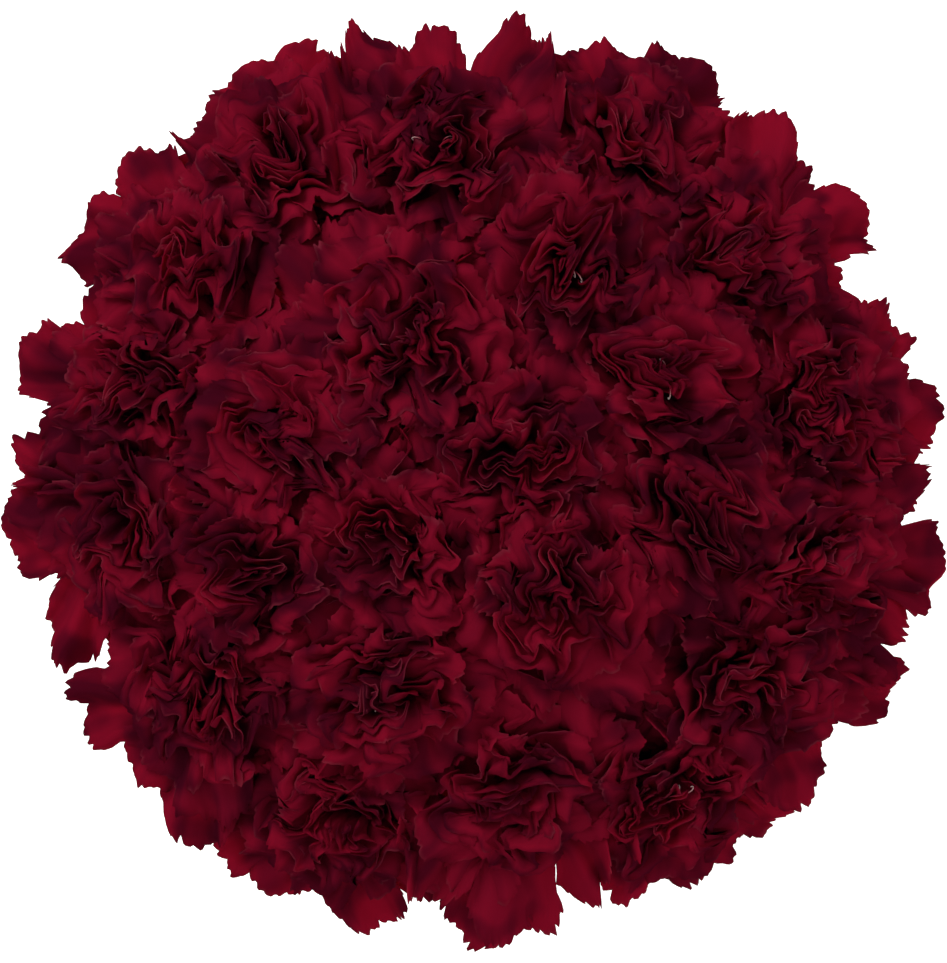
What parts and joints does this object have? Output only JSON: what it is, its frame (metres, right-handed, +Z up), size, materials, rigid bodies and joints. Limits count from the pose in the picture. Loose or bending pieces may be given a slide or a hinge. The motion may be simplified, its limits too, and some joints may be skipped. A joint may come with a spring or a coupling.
{
  "type": "carnations in a vase",
  "caption": "Round dome of dark crimson double carnations on green stems, standing in a plain clear glass vase of water.",
  "frame": {"origin": "centre of the vase's foot, on the surface that it stands on", "axes": "+Z up along the vase's axis; +X and +Y lie in the surface, +Y being up in a view from straight above with +X to the right"},
  "size_m": [0.3029, 0.3007, 0.3255],
  "materials": {
    "petal": "soft velvety petal",
    "stem_green": "waxy grey-green bloom",
    "clear_glass": "clear, polished",
    "water": "clear liquid"
  },
  "bodies": {
    "root": {"carnation_01_petals": "petal", "carnation_01_stem": "stem_green", "carnation_02_petals": "petal", "carnation_02_stem": "stem_green", "carnation_03_petals": "petal", "carnation_03_stem": "stem_green", "carnation_04_petals": "petal", "carnation_04_stem": "stem_green", "carnation_05_petals": "petal", "carnation_05_stem": "stem_green", "carnation_06_petals": "petal", "carnation_06_stem": "stem_green", "carnation_07_petals": "petal", "carnation_07_stem": "stem_green", "carnation_08_petals": "petal", "carnation_08_stem": "stem_green", "carnation_09_petals": "petal", "carnation_09_stem": "stem_green", "carnation_10_petals": "petal", "carnation_10_stem": "stem_green", "carnation_11_petals": "petal", "carnation_11_stem": "stem_green", "carnation_12_petals": "petal", "carnation_12_stem": "stem_green", "carnation_13_petals": "petal", "carnation_13_stem": "stem_green", "carnation_14_petals": "petal", "carnation_14_stem": "stem_green", "carnation_15_petals": "petal", "carnation_15_stem": "stem_green", "carnation_16_petals": "petal", "carnation_16_stem": "stem_green", "carnation_17_petals": "petal", "carnation_17_stem": "stem_green", "carnation_18_petals": "petal", "carnation_18_stem": "stem_green", "carnation_19_petals": "petal", "carnation_19_stem": "stem_green", "carnation_20_petals": "petal", "carnation_20_stem": "stem_green", "carnation_21_petals": "petal", "carnation_21_stem": "stem_green", "carnation_22_petals": "petal", "carnation_22_stem": "stem_green", "carnation_23_petals": "petal", "carnation_23_stem": "stem_green", "carnation_24_petals": "petal", "carnation_24_stem": "stem_green", "vase": "clear_glass", "water": "water"}
  },
  "joints": []
}
